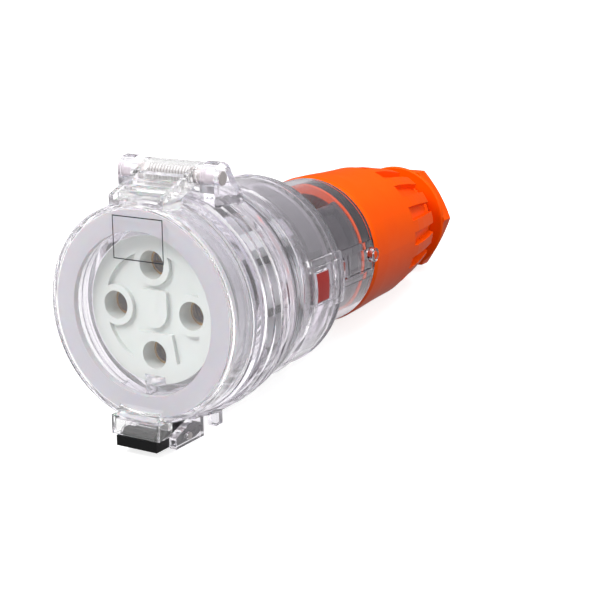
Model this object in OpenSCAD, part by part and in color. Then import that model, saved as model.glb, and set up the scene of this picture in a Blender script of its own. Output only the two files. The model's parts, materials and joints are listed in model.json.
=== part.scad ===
// Weatherproof industrial cable coupler, the socket half, with a clear housing and a
// spring flap. Sub-parts are drawn along the coupler's own axis: +Y runs from the flap
// (y = 0) to the gland nut, +Z is up at the hinge and +X is the side with the window.
// laid() then tips the whole coupler to the pose in which it rests on a table.

/* [Flap] */
// Room between the collar's thread and the flap's skirt
flap_room = 5.5; // [4.7:0.1:6.3]
// Thickness of the flap's window
flap_t = 2.4; // [1.8:0.2:3]
// Wall of the flap's skirt
flap_wall = 2.3; // [1.8:0.1:2.6]
// Depth of the flap from its face to the end of its skirt
flap_depth = 13.4; // [12:0.2:15]
// Thickness of the sealing ring
gasket_t = 2.6; // [2:0.2:3.4]
// Half width of the hinge arm
arm_half = 13; // [11:0.5:15]
// Number of slats on the hinge arm
slats = 4; // [2:1:6]
// How far the flap opens, in degrees
flap_open = 135; // [90:5:150]

/* [Hinge] */
// Distance of the hinge pin behind the front of the flange
hinge_back = 12.7; // [12:0.1:14]
// Height of the hinge pin above the flange
hinge_rise = 4.7; // [4.4:0.1:5.4]
// Radius of the hinge pin
hinge_pin_r = 3; // [2.6:0.1:3.1]
// Wall of the spring barrel
barrel_wall = 1.1; // [0.9:0.05:1.3]
// Gap between the hinge arm and an ear, where the spring's leg stands
ear_gap = 3.7; // [3.2:0.1:4.4]
// Thickness of one hinge ear
ear_t = 6.6; // [5:0.2:6.8]
// Wire radius of the flap spring
spring_wire_r = 0.4; // [0.3:0.05:0.45]
// Turns of the flap spring
spring_turns = 15; // [8:1:16]

/* [Latch] */
// Half width of the latch lever
latch_half = 9.9; // [8:0.1:11]
// Thickness of the latch lever
latch_t = 4.3; // [3.8:0.1:5]
// Wall of the catch box beside the lever
catch_wall = 1.5; // [1.2:0.1:2]
// How far the catch box stands in front of the flap
catch_front = 5; // [4.2:0.2:6]
// How far the catch box reaches below the flap's rim
catch_below = 4.5; // [3.8:0.1:5.2]
// Distance of the latch pin behind the flap's face
latch_y = 13; // [12:0.5:15]
// Radius of the latch pin
latch_pin_r = 1.5; // [1.2:0.1:1.7]
// Length of the bracket behind the latch pin
bracket_back = 9.5; // [8.5:0.5:12]
// Thickness of one bracket plate
bracket_t = 3.5; // [2.6:0.1:4]

/* [Front housing] */
// How much wider the mouth is than the insert
mouth_step = 3.2; // [2.8:0.1:3.6]
// Depth from the mouth to the insert's face
mouth_depth = 5.25; // [5:0.05:6]
// Wall of the collar
collar_wall = 1.6; // [1.4:0.1:2]
// Height of the collar's thread
thread_h = 1.5; // [1:0.1:1.8]
// Pitch of the collar's thread
thread_pitch = 2.9; // [2:0.1:3.4]
// How far the largest flange stands out beyond the flap
flange_step = 3.1; // [2.6:0.1:3.6]
// Length of the flanged part of the housing
flange_len = 39.7; // [34:0.1:45]
// Wall of the flanged part
flange_wall = 3.4; // [3:0.1:3.8]
// How far the spigot under the coupling ring stands out beyond the insert's bore
spigot_step = 5.8; // [5.2:0.1:6.4]
// Length of the spigot
spigot_len = 6.5; // [6.2:0.1:9]
// Wall of the spigot and of the rear barrel
spigot_wall = 3; // [2.6:0.1:3.4]

/* [Insert and contacts] */
// Radius of the insert's face
insert_r = 30.4; // [28:0.1:33]
// Distance of the four contacts' circle from the insert's rim
contact_inset = 11.86; // [11.2:0.02:12.6]
// Radius of the bore that takes a plug's pin
pin_bore_r = 4.8; // [4:0.1:5.2]
// Wall of a contact sleeve
contact_wall = 1; // [0.8:0.1:1.4]
// Depth of a contact sleeve behind the insert's face
contact_set = 7.7; // [5:0.1:10]
// Depth of a pin bore
pin_bore_len = 32; // [26:0.5:36]
// Depth of the recess in the insert's face
recess = 1.8; // [1:0.1:2.4]
// Width of the land round the insert's face
land_w = 6.8; // [6:0.1:7.6]
// Length of a terminal block
terminal_len = 18; // [14:0.5:20]
// Height of a terminal block from side to side
terminal_w = 14.4; // [12:0.2:15]

/* [Coupling ring] */
// Length of the coupling ring
ring_len = 34.2; // [33:0.2:40]
// Wall of the coupling ring
ring_wall = 3.9; // [3.4:0.1:4.4]
// How far the ring turns, in degrees
ring_turn = 30; // [15:1:40]
// Width of the release tab's window along the axis
tab_len = 11.4; // [8:0.2:13]
// Height of the release tab's window
tab_h = 12.8; // [9:0.2:14]
// Travel of the release tab
tab_travel = 1.2; // [0.8:0.1:1.3]

/* [Rear housing] */
// How much narrower the rear tube is than the barrel in front of it
tube_step = 4.6; // [4:0.1:5.2]
// Wall of the rear tube
tube_wall = 2.8; // [2.6:0.1:3]
// Length of the rear tube behind the coupling ring's lip
tube_len = 48.6; // [46:0.2:56]
// Height of the rails on the rear tube
rail_h = 2.3; // [1.6:0.1:2.6]
// Width of the rails on the rear tube
rail_w = 3.2; // [2.4:0.1:4]
// Length of the cord clamp
clamp_len = 12; // [10:0.5:14]

/* [Cap and gland] */
// Length of the smooth part of the cap
cap_len = 44; // [38:0.5:50]
// How far the cap stands out beyond the rear tube
cap_step = 0.6; // [0.3:0.1:1.2]
// Length of the ribbed part of the cap
rib_len = 32.5; // [28:0.5:38]
// Number of ribs on the cap
ribs = 16; // [10:1:20]
// Width of a rib
rib_w = 5.8; // [4:0.1:7]
// Height of a rib
rib_h = 3; // [2.4:0.1:3.4]
// Wall of the cap
cap_wall = 3; // [2.4:0.1:3.2]
// Outer radius of the gland neck
neck_r = 20; // [19:0.1:21]
// Length of the gland neck
neck_len = 18.6; // [16:0.2:22]
// Radius of the cable's way through the grommet
cable_r = 9; // [6:0.1:12]
// Wall of the nut at its flats
nut_wall = 3.95; // [3.4:0.05:4.6]
// How far the nut's round edge stands out beyond its flats
nut_edge = 2.75; // [2.4:0.05:3.1]
// Length of the nut
nut_len = 12.7; // [12:0.1:15]

/* [Hidden] */
$fn = 96;

// Clearances
gap = 0.3;              // between pieces that are assembled by hand
turn_gap = 0.06;        // between a pin and what turns on it
press_gap = 0.04;       // between a sleeve and the hole that holds it
face_gap = 0.05;        // between the sealing ring and the collar
eps = 0.01;

// Places along the axis
collar_y = flap_t + gasket_t + face_gap;
insert_y = collar_y + mouth_depth + 0.2;
shoulder_y = insert_y - 0.2;
insert_seat_y = insert_y + 15.5; // seat of the insert's flange in the housing
insert_flange_t = 4;
flange_y = flap_depth + 0.4;
flange_end = flange_y + flange_len;
hinge_y = flange_y + hinge_back;
ring_y = flange_end + gap;
spigot_end = flange_end + spigot_len;
ring_end = ring_y + ring_len;
lip_t = 3.1;
lip_y = ring_end - lip_t;
barrel_end = lip_y - gap;
step_t = 2.6;
step_y = barrel_end - step_t;
seat_y = step_y - 1.8;           // front of the carrier's flange
disc_y = step_y + 2;             // front of the carrier's disc
disc_end = disc_y + 6;
terminal_end = disc_y - 0.4;
terminal_y = terminal_end - terminal_len;
barrel_to = terminal_y - 0.5;
tube_end = barrel_end + tube_len;
cap_front = tube_end - 8.6;      // front of the cap's spigot
clamp_end = cap_front - 0.6;
clamp_y = clamp_end - clamp_len;
clamp_mid = (clamp_y + clamp_end) / 2;
cap_y = tube_end + gap;
rib_y = cap_y + cap_len;
rib_end = rib_y + rib_len;
neck_end = rib_end + neck_len;
nut_y = neck_end - 7.8;
nut_end = nut_y + nut_len;

// Radii
mouth_r = insert_r + mouth_step;
collar_r = mouth_r + collar_wall;
flap_in_r = collar_r + thread_h + flap_room;
flap_r = flap_in_r + flap_wall;
flange_r = flap_r + flange_step;
hinge_z = flange_r + hinge_rise;
barrel_in_r = hinge_pin_r + 2 * spring_wire_r + 0.9;
barrel_r = barrel_in_r + barrel_wall;
hinge_pin_half = arm_half + ear_gap + ear_t + 0.2;
gasket_r = flap_in_r - gap;
gasket_in_r = mouth_r - 0.2;
insert_bore_r = insert_r + gap;
insert_flange_r = insert_r + 2.5;
sleeve_bore_r = insert_flange_r + gap;
contact_pcd_r = insert_r - contact_inset;
contact_r = pin_bore_r + contact_wall;
land_r = insert_r - land_w;
terminal_out = contact_pcd_r + 7.8;
spigot_r = sleeve_bore_r + spigot_step;
spigot_in_r = spigot_r - spigot_wall;
ring_in_r = spigot_r + gap;
ring_r = ring_in_r + ring_wall;
tube_r = spigot_r - tube_step;
tube_in_r = tube_r - tube_wall;
lip_r = tube_r + 0.4;
carrier_r = spigot_in_r - 0.6;
carrier_hole_r = norm([terminal_out, terminal_w / 2]) + 0.9;
disc_r = tube_in_r - 0.4;
trough_r = disc_r - 0.8;
cap_spigot_r = tube_in_r - gap;
cap_r = tube_r + cap_step;
neck_in_r = neck_r - 4.5;
nut_flat_r = neck_r + gap + nut_wall;
nut_corner_r = nut_flat_r / cos(30);
nut_edge_r = nut_flat_r + nut_edge;

// Latch and floor
catch_half = latch_half + 0.2 + catch_wall;
catch_drop = flap_r + catch_below;
nose_drop = catch_drop - 2.4;    // lower edge of the catch's rear wall
lever_top = catch_drop + 0.7;
lever_bottom = lever_top + latch_t;
bracket_drop = lever_bottom + gap;
latch_z = -(lever_top + latch_pin_r + gap);
bracket_in = latch_half + 0.4;
bracket_out = bracket_in + bracket_t;
bracket_end = latch_y + bracket_back;

// The coupler rests on the bracket's rear edge and on the nut's round edge
nut_edge_y = nut_y + 1.6;
tilt = atan((bracket_drop - nut_edge_r) / (nut_edge_y - bracket_end));
rest_lift = bracket_end * sin(tilt) + bracket_drop * cos(tilt);
front_reach = -catch_front * cos(tilt) - catch_drop * sin(tilt);
lever_reach = -(catch_front - 0.5) * cos(tilt) - lever_bottom * sin(tilt);
rear_reach = nut_end * cos(tilt) + (nut_flat_r - 5.6) * sin(tilt);
mid_y = (min(front_reach, lever_reach) + rear_reach) / 2;

contact_angles = [0, 90, 180, 270];

// Shared shapes

// Tips the coupler to its resting pose with the origin under its middle
module laid() translate([0, -mid_y, rest_lift]) rotate([-tilt, 0, 0]) children();

// Turns a shape drawn along Z to the coupler's axis
module along_axis() rotate([-90, 0, 0]) children();

// A solid of revolution from [radius, place along the axis] points
module turned(points, from = 0, sweep = 360)
    along_axis() rotate([0, 0, from]) rotate_extrude(angle = sweep) polygon(points);

module tube(r_out, r_in, from, to) along_axis() translate([0, 0, from]) difference() {
    cylinder(r = r_out, h = to - from);
    translate([0, 0, -1]) cylinder(r = r_in, h = to - from + 2);
}

module rod(r, from, to, x = 0, z = 0)
    translate([x, 0, z]) along_axis() translate([0, 0, from]) cylinder(r = r, h = to - from);

// A cylinder across the coupler
module cross_rod(r, from, to, y, z)
    translate([from, y, z]) rotate([0, 90, 0]) cylinder(r = r, h = to - from);

// A side view given as [y, z] points, extruded across the coupler
module side(points, from, to)
    translate([from, 0, 0]) rotate([90, 0, 90]) linear_extrude(to - from) polygon(points);

// A front view, extruded along the axis
module facing(from, depth)
    translate([0, from + depth, 0]) rotate([90, 0, 0]) linear_extrude(depth) children();

module box(x0, x1, y0, y1, z0, z1)
    translate([x0, y0, z0]) cube([x1 - x0, y1 - y0, z1 - z0]);

// Places children drawn at the right-hand contact at another angle round the axis
module at_angle(a) rotate([0, -a, 0]) children();

// A helix round X as [x, y, z] points, ending at the angle last, counted from +Y to +Z
function helix(mean_r, turns, length, last = 0, steps = 12) = [for (i = [0:turns * steps])
    let (a = last - 360 * (turns - i / steps))
    [length * i / (turns * steps), mean_r * cos(a), mean_r * sin(a)]];
function unit(v) = v / norm(v);

// A round wire along a path, with one outward direction for each point of the path
module wire(path, outward, r, sides = 6) {
    last = len(path) - 1;
    legs = [for (i = [0:last - 1]) unit(path[i + 1] - path[i])];
    points = [for (i = [0:last], k = [0:sides - 1])
        let (along = unit(legs[max(i - 1, 0)] + legs[min(i, last - 1)]),
            across = unit(cross(along, outward[i])), out = cross(across, along))
        path[i] + r * (cos(360 * k / sides) * out + sin(360 * k / sides) * across)];
    faces = concat(
        [[for (k = [0:sides - 1]) k]],
        [for (i = [0:last - 1], k = [0:sides - 1])
            [i * sides + k, (i + 1) * sides + k,
                (i + 1) * sides + (k + 1) % sides, i * sides + (k + 1) % sides]],
        [[for (k = [sides - 1:-1:0]) last * sides + k]]);
    polyhedron(points = points, faces = faces);
}
function outward(points) = [for (p = points) unit([0, p[1], p[2]])];

// Flap

arm_line = [[0, flap_r + 2.4], [2.2, flap_r + 3.1], [flange_y + 0.8, flap_r + 7.8],
    [hinge_y - 3.7, hinge_z + 4.4]];
floor_line = [[0, flap_r + 0.6], [flange_y - 0.2, flap_r + 2.9], [hinge_y - 6.9, flap_r + 5.6],
    [hinge_y - 2, hinge_z]];
function arm_top(y) = lookup(y, arm_line);
function arm_floor(y) = lookup(y, floor_line);
arm_under = [[hinge_y - 4.9, hinge_z - 3.1], [flange_y + 5.4, flange_r + 0.8], [flange_y + 2.4, flange_r - 0.6],
    [flap_depth, flap_r + 1.2], [flap_depth, flap_r - 3]];

module arm_rib(from, to) side(concat([[0.8, flap_r - 3], [0.8, arm_top(0)], [2.2, arm_top(2.2)],
    [flange_y + 0.8, arm_top(flange_y + 0.8)], [hinge_y - 3.7, hinge_z + 4.4], [hinge_y, hinge_z]],
    arm_under), from, to);

module flap_arm() {
    rib_t = 2.4;
    for (s = [-1, 1]) arm_rib(s > 0 ? arm_half - rib_t : -arm_half, s > 0 ? arm_half : rib_t - arm_half);
    side(concat([[0.8, flap_r - 3]], [for (p = floor_line) [max(p[0], 0.8), p[1]]], arm_under),
        -arm_half + 1, arm_half - 1);
    pitch = (hinge_y - 8.5) / slats;
    for (i = [0:slats - 1]) let (y = 3.4 + i * pitch)
        side([[y, arm_floor(y) - 0.6], [y + 1.7, arm_floor(y + 1.7) - 0.6],
            [y + 1.7, arm_top(y + 1.7) - 0.5], [y, arm_top(y) - 0.5]], -arm_half + 1, arm_half - 1);
}

module catch_box() difference() {
    union() {
        box(-catch_half, catch_half, -catch_front, 4, -catch_drop, -flap_r + 3.4);
        side([[-catch_front, -flap_r + 3.4], [0, -flap_r + 7], [2, -flap_r + 7], [2, -flap_r + 3.4]],
            -catch_half + 1.2, catch_half - 1.2);
    }
    box(-latch_half - 0.2, latch_half + 0.2, -catch_front + 1.6, 2.4, -catch_drop - 1, -flap_r + 1.6);
    box(-latch_half - 0.2, latch_half + 0.2, 2, 5, -catch_drop - 1, -nose_drop);
}

module flap() color([0.93, 0.92, 0.96, 0.4]) laid() difference() {
    union() {
        turned([[0, 0], [flap_r - 1.2, 0], [flap_r, 1.2], [flap_r, 5.9], [flap_r - 0.6, 6.5],
            [flap_r - 0.6, flap_depth - 1.4], [flap_r + 0.4, flap_depth - 0.9],
            [flap_r + 0.4, flap_depth], [flap_in_r, flap_depth], [flap_in_r, flap_t],
            [gasket_in_r - 0.2, flap_t], [gasket_in_r - 0.2, flap_t + 1.6],
            [gasket_in_r - 1, flap_t + 1.6], [gasket_in_r - 1, flap_t], [0, flap_t]]);
        flap_arm();
        cross_rod(barrel_r, -arm_half, arm_half, hinge_y, hinge_z);
        catch_box();
    }
    cross_rod(hinge_pin_r + turn_gap, -arm_half - 1, arm_half + 1, hinge_y, hinge_z);
    cross_rod(barrel_in_r, -arm_half + 1.6, arm_half - 1.6, hinge_y, hinge_z);
    // Notch in the end wall that the spring's leg leaves by, at any angle of the flap
    translate([0, hinge_y, hinge_z]) rotate([0, 90, 0]) rotate([0, 0, 78])
        rotate_extrude(angle = flap_open + 24) translate([hinge_pin_r - 0.5, arm_half - 3]) square([barrel_r - hinge_pin_r - 0.6, 4]);
    // The skirt's inside stays clear under the arm
    along_axis() translate([0, 0, flap_t]) cylinder(r = flap_in_r, h = gasket_t + 0.6);
    along_axis() translate([0, 0, collar_y]) cylinder(r = flap_in_r, h = flap_depth);
}

module flap_gasket() color([0.9, 0.89, 0.93]) laid()
    tube(gasket_r, gasket_in_r, flap_t, flap_t + gasket_t);

module hinge_pin() color([0.8, 0.77, 0.78]) laid() intersection() {
    cross_rod(hinge_pin_r, -hinge_pin_half, hinge_pin_half, hinge_y, hinge_z);
    translate([0, hinge_y, hinge_z]) rotate([0, 90, 0]) rotate_extrude() polygon([
        [0, -hinge_pin_half], [hinge_pin_r - 0.4, -hinge_pin_half],
        [hinge_pin_r + 0.1, 0.5 - hinge_pin_half], [hinge_pin_r + 0.1, hinge_pin_half - 0.5],
        [hinge_pin_r - 0.4, hinge_pin_half], [0, hinge_pin_half]]);
}

module flap_spring() color("silver") laid() {
    mean_r = hinge_pin_r + spring_wire_r + 0.35;
    start_x = -arm_half + 2.2;
    end_x = arm_half - 2.2;
    leg_x = arm_half + ear_gap / 2;
    foot_z = sqrt(pow(flange_r - 0.7, 2) - leg_x * leg_x) + 0.3 - hinge_z;
    turns = helix(mean_r, spring_turns, end_x - start_x);
    shift = [for (p = turns) p + [start_x, 0, 0]];
    translate([0, hinge_y, hinge_z]) wire(
        concat(shift, [[leg_x - 0.4, mean_r, 0], [leg_x, mean_r, -0.4], [leg_x, mean_r, foot_z]]),
        concat(outward(turns), [[0, 1, 0], [0, 1, 0], [0, 1, 0]]), spring_wire_r);
}

// Front housing

// Outer outline of the flanged part with shallow grooves between its ridges, for this length
drawn_len = 39.7;
flange_line = [[flange_r - 2.6, 0], [flange_r - 2.6, 2], [flange_r - 1.4, 2.8], [flange_r - 1.4, 5],
    [flange_r, 5.6], [flange_r, 9.2], [flange_r - 0.7, 9.7], [flange_r - 0.7, 11.1],
    [flange_r, 11.6], [flange_r, 15.6], [flange_r - 0.7, 16.1], [flange_r - 0.7, 17.5],
    [flange_r - 0.2, 18], [flange_r - 0.5, 21.4], [flange_r - 1.3, 22], [flange_r - 1.4, 23.4],
    [flange_r - 0.9, 24], [flange_r - 1.5, 27.8], [flange_r - 2.4, 28.4], [flange_r - 2.7, 29.8],
    [flange_r - 2.3, 30.4], [flange_r - 2.9, 33.6], [flange_r - 3.8, 34.2], [flange_r - 4, 35.6],
    [flange_r - 3.7, 36.2]];

module housing_shell() turned(concat(
    [[mouth_r, collar_y + 0.5], [mouth_r, shoulder_y], [insert_bore_r, shoulder_y],
        [insert_bore_r, insert_seat_y], [sleeve_bore_r, insert_seat_y],
        [sleeve_bore_r, insert_seat_y + 9.5], [sleeve_bore_r + 2.4, insert_seat_y + 9.5],
        [sleeve_bore_r + 2.4, flange_y + 3], [flange_r - flange_wall - 1.8, flange_y + 3],
        [flange_r - flange_wall, flange_y + 7], [flange_r - flange_wall, flange_y + 18],
        [flange_r - flange_wall - 1.4, flange_y + 26], [spigot_in_r + 1.6, flange_end - 4],
        [spigot_in_r, flange_end - 2.4], [spigot_in_r, spigot_end],
        [spigot_r, spigot_end], [spigot_r, flange_end + 4.6], [spigot_r - 1.8, flange_end + 4.6],
        [spigot_r - 1.8, flange_end + 2.2], [spigot_r, flange_end + 2.2], [spigot_r, flange_end],
        [flange_r - 4, flange_end]],
    [for (i = [len(flange_line) - 1:-1:0])
        [flange_line[i][0], flange_y + flange_line[i][1] * flange_len / drawn_len]],
    [[collar_r, flange_y], [collar_r, collar_y + 0.4], [collar_r - 0.4, collar_y],
        [mouth_r + 0.5, collar_y]]));

// The collar's thread stops short of the keyway at the bottom
module collar_thread() {
    gap_half = 24;
    count = floor((flange_y - collar_y - 1.2) / thread_pitch);
    for (i = [0:count - 1]) let (y = collar_y + 1 + i * thread_pitch)
        turned([[collar_r - 0.3, y], [collar_r + thread_h, y + 0.75],
            [collar_r + thread_h, y + 1.45], [collar_r - 0.3, y + 2.2]], 90 + gap_half, 360 - 2 * gap_half);
}

// The key is a wedge on a thin web, and only lets a matching plug in
module polarity_key() {
    translate([0, 0, -insert_r]) linear_extrude(3.4)
        polygon([[-5.2, insert_y - 0.1], [5.2, insert_y - 0.1], [1.2, collar_y + 1.3], [-1.2, collar_y + 1.3]]);
    box(-1.15, 1.15, collar_y + 0.5, insert_y - 0.1, -mouth_r - 0.6, -insert_r + 1);
}

module hinge_ear(from, to) {
    cross_rod(barrel_r + 0.6, from, to, hinge_y, hinge_z);
    side([[hinge_y - 6, flange_r - 6.4], [hinge_y - 6.2, hinge_z - 1], [hinge_y - 5.4, hinge_z + 3.2],
        [hinge_y + 5.8, hinge_z + 2.6], [hinge_y + 9.5, hinge_z - 3.5], [hinge_y + 14, flange_r - 3],
        [hinge_y + 14, flange_r - 8.6]], from, to);
}

module bracket_plate(from, to) side([[3.5, -bracket_drop], [bracket_end, -bracket_drop],
    [bracket_end, -flange_r + 5], [flange_y + 0.4, -flange_r + 5], [flange_y + 0.4, -flange_r + 1.4],
    [8, -flange_r - 0.2], [3.5, -lever_top]], from, to);

module front_housing() color([0.92, 0.92, 0.95, 0.35]) laid() {
    ear_in = arm_half + ear_gap;
    ear_out = ear_in + ear_t;
    difference() {
        union() {
            housing_shell();
            hinge_ear(ear_in, ear_out);
            hinge_ear(-ear_out, -ear_in);
            bracket_plate(bracket_in, bracket_out);
            bracket_plate(-bracket_out, -bracket_in);
            box(17.5, 21.5, 20.5, 25, -flange_r - 0.6, -flange_r + 5.2);
        }
        cross_rod(barrel_r + 0.5, -arm_half - 1.2, arm_half + 1.2, hinge_y, hinge_z);
        cross_rod(hinge_pin_r + press_gap, -ear_out - 1, ear_out + 1, hinge_y, hinge_z);
        cross_rod(latch_pin_r + press_gap, -bracket_out - 1, bracket_out + 1, latch_y, latch_z);
    }
    collar_thread();
    polarity_key();
}

module body_seal() color([0.07, 0.07, 0.07]) laid() along_axis()
    rotate_extrude() translate([spigot_r - 0.83, flange_end + 3.4]) circle(0.92, $fn = 24);

// Latch

module latch() color([0.12, 0.12, 0.12]) laid() difference() {
    union() {
        side([[0.5 - catch_front, -lever_bottom], [bracket_end - 3.5, -lever_bottom],
            [bracket_end + 3.5, -lever_bottom + 2.1], [bracket_end + 3.5, -lever_top - 0.6],
            [bracket_end - 6, -lever_top - 0.6], [latch_y + 2, -lever_top],
            [0.5 - catch_front, -lever_top]], -latch_half, latch_half);
        side([[-2.4, -lever_top - 0.2], [1.8, -lever_top - 0.2], [1.8, -nose_drop - 0.2],
            [-0.6, -nose_drop - 0.2], [-2.4, -nose_drop - 1.6]], -latch_half + 2, latch_half - 2);
    }
    cross_rod(latch_pin_r + turn_gap, -latch_half - 1, latch_half + 1, latch_y, latch_z);
}

module latch_pin() color("silver") laid()
    cross_rod(latch_pin_r, -bracket_out, bracket_out, latch_y, latch_z);

module latch_spring() color("silver") laid() {
    wire_r = 0.3;
    low = -lever_top - 0.6 + wire_r + 0.1;
    turns = helix(2, 2, -flange_r - low - wire_r - 0.1, steps = 14);
    translate([0, bracket_end - 2.2, low]) rotate([0, -90, 0]) wire(turns, outward(turns), wire_r);
}

// Contact insert

module plateau_plan() polygon([[-8.4, -9.3], [8.7, -9.3], [11.9, -land_r - 2], [-11.6, -land_r - 2]]);

module shield_plan() {
    w = 6.7;
    round_r = 1.2;
    translate([0, -0.5]) circle(w);
    translate([-w, -0.5]) square([2 * w, 8.9 - round_r]);
    translate([-w + round_r, 0]) square([2 * (w - round_r), 8.4]);
    for (s = [-1, 1]) translate([s * (w - round_r), 8.4 - round_r]) circle(round_r);
}

module recess_plan() difference() {
    circle(land_r);
    for (a = [0, 90, 180]) rotate(a) translate([contact_pcd_r, 0]) circle(8.5);
    plateau_plan();
    shield_plan();
}

behind_y = insert_seat_y + insert_flange_t - 0.5;
post_r0 = carrier_hole_r - 5;

// A post that the carrier seats on, stepped to enter the hole in the carrier's flange
module insert_post() intersection() {
    turned([[post_r0, behind_y], [insert_flange_r, behind_y], [insert_flange_r, seat_y],
        [carrier_hole_r - gap, seat_y], [carrier_hole_r - gap, disc_y], [post_r0, disc_y]]);
    box(post_r0 - 2, insert_flange_r + 1, behind_y - 1, disc_y + 1, -4, 4);
}

module contact_insert() color([0.89, 0.91, 0.9]) laid() difference() {
    union() {
        rod(insert_r, insert_y, insert_seat_y + 0.5);
        rod(insert_flange_r, insert_seat_y + eps, insert_seat_y + insert_flange_t);
        for (a = contact_angles) at_angle(a) {
            rod(contact_r + 3.2, behind_y, barrel_to, x = contact_pcd_r);
            box(2, contact_pcd_r, behind_y, barrel_to, -2.5, 2.5);
            at_angle(45) insert_post();
        }
        rod(6, behind_y, barrel_to);
    }
    facing(insert_y - 1, recess + 1) recess_plan();
    for (a = contact_angles) at_angle(a) {
        rod(contact_r + press_gap, insert_y - 1, barrel_to + 1, x = contact_pcd_r);
        if (a == 0 || a == 180) at_angle(45)
            rod(insert_screw_r + press_gap, disc_y - 14, disc_y + 1, x = insert_screw_at);
    }
}

module contact(a) color([0.72, 0.53, 0.22]) laid() at_angle(a) difference() {
    rod(contact_r, insert_y + contact_set, terminal_y, x = contact_pcd_r);
    rod(pin_bore_r, insert_y + contact_set - 1, insert_y + contact_set + pin_bore_len, x = contact_pcd_r);
}

// Terminals

set_screw_r = 2;
set_screw_y = terminal_y + 0.62 * terminal_len;
set_screw_z = terminal_w / 4 + 0.1;

module terminal(a) color([0.74, 0.73, 0.72]) laid() at_angle(a) difference() {
    box(contact_pcd_r - 5.7, terminal_out, terminal_y, terminal_end, -terminal_w / 2, terminal_w / 2);
    rod(3.4, terminal_y + 5, terminal_end + 1, x = contact_pcd_r);
    for (z = [-set_screw_z, set_screw_z])
        cross_rod(set_screw_r + press_gap, contact_pcd_r + 1, terminal_out + 1, set_screw_y, z);
}

module terminal_screws() color([0.6, 0.6, 0.6]) laid() for (a = contact_angles, z = [-set_screw_z, set_screw_z])
    at_angle(a) difference() {
        cross_rod(set_screw_r, contact_pcd_r + 2, terminal_out - 1.1, set_screw_y, z);
        box(terminal_out - 2, terminal_out, set_screw_y - 3, set_screw_y + 3, z - 0.4, z + 0.4);
    }

insert_screw_r = 1.5;
insert_screw_at = carrier_hole_r - 2.8;
head_sunk = 0.5;

module insert_screws() color("silver") laid() for (a = [45, 225]) at_angle(a) {
    rod(insert_screw_r, disc_y - 12, disc_end, x = insert_screw_at);
    rod(2.5, disc_end - head_sunk, disc_end + 1.6, x = insert_screw_at);
}

// Terminal carrier with the lower half of the cord clamp moulded on

clamp_screw_r = 1.6;
clamp_head_r = 2.8;
clamp_screw_x = cable_r + 4.5;
clamp_boss_r = 4.2;
clamp_screw_in = 10;    // how deep the clamp's screws go into its lower half
clamp_head_h = 2;
trough_t = 2.6;
trough_neck = 1.8;      // how much narrower the trough is between its two ends
trough_rise = 56;       // angle that the trough's edges stand above the middle
boss_rise = 52;
boss_r = 2.9;
boss_at = trough_r - boss_r - 0.2;
wall_len = 8;
claw_len = 12;
claw_gap = 13.5;        // half width of the way for a terminal between two claws
clamp_top = boss_at * sin(boss_rise) - boss_r - clamp_head_h - 2.6;

module carrier_cup() turned([[carrier_hole_r, seat_y], [carrier_r, seat_y], [carrier_r, step_y],
    [disc_r, step_y], [disc_r, disc_end + wall_len], [disc_r - 2.8, disc_end + wall_len],
    [disc_r - 2.8, disc_end], [0, disc_end], [0, disc_y], [carrier_hole_r, disc_y]]);

// Four claws reach forward between the terminals
module carrier_claws() difference() {
    tube(carrier_r, carrier_r - 2.2, step_y - claw_len, seat_y + 1);
    box(-50, 50, step_y - claw_len - 1, seat_y, -claw_gap, claw_gap);
    box(-claw_gap, claw_gap, step_y - claw_len - 1, seat_y, -50, 50);
}

module trough() turned([[trough_r - trough_t, disc_end - 2], [trough_r, disc_end - 2],
    [trough_r, disc_end + 10], [trough_r - trough_neck, disc_end + 13],
    [trough_r - trough_neck, clamp_end - 6], [trough_r, clamp_end - 3], [trough_r, clamp_end],
    [trough_r - trough_t, clamp_end], [trough_r - trough_t - trough_neck, clamp_end - 4],
    [trough_r - trough_t - trough_neck, disc_end + 12], [trough_r - trough_t, disc_end + 9]],
    -trough_rise, 180 + 2 * trough_rise);

module trough_boss() translate([boss_at, 0, 0]) {
    rod(boss_r, clamp_y, clamp_end - 0.3);
    along_axis() translate([0, 0, clamp_y - 6]) cylinder(r1 = 1.4, r2 = boss_r, h = 6.01);
}

module clamp_base() difference() {
    intersection() {
        rod(trough_r - trough_t, clamp_y, clamp_end - 0.5);
        box(-50, 50, clamp_y, clamp_end, -50, -0.5);
    }
    box(-cable_r, cable_r, clamp_y - 1, clamp_end + 1, -50, -cable_r - 8);
}

module terminal_carrier() color([0.36, 0.37, 0.38]) laid() difference() {
    union() {
        carrier_cup();
        carrier_claws();
        trough();
        for (a = [boss_rise, 180 - boss_rise]) at_angle(a) trough_boss();
        clamp_base();
    }
    rod(cable_r + 0.5, clamp_y - 1, clamp_end + 1);
    rod(6, disc_y - 1, disc_end + 1);
    for (a = contact_angles) at_angle(a) rod(4.4, disc_y - 1, disc_end + 1, x = contact_pcd_r);
    for (a = [45, 225]) at_angle(a) {
        rod(insert_screw_r + press_gap, disc_y - 1, disc_end + 1, x = insert_screw_at);
        rod(2.7, disc_end - head_sunk, disc_end + wall_len + 1, x = insert_screw_at);
    }
    for (s = [-1, 1]) translate([s * clamp_screw_x, clamp_mid, -clamp_screw_in - 2])
        cylinder(r = clamp_screw_r + press_gap, h = clamp_screw_in + 3);
}

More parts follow.
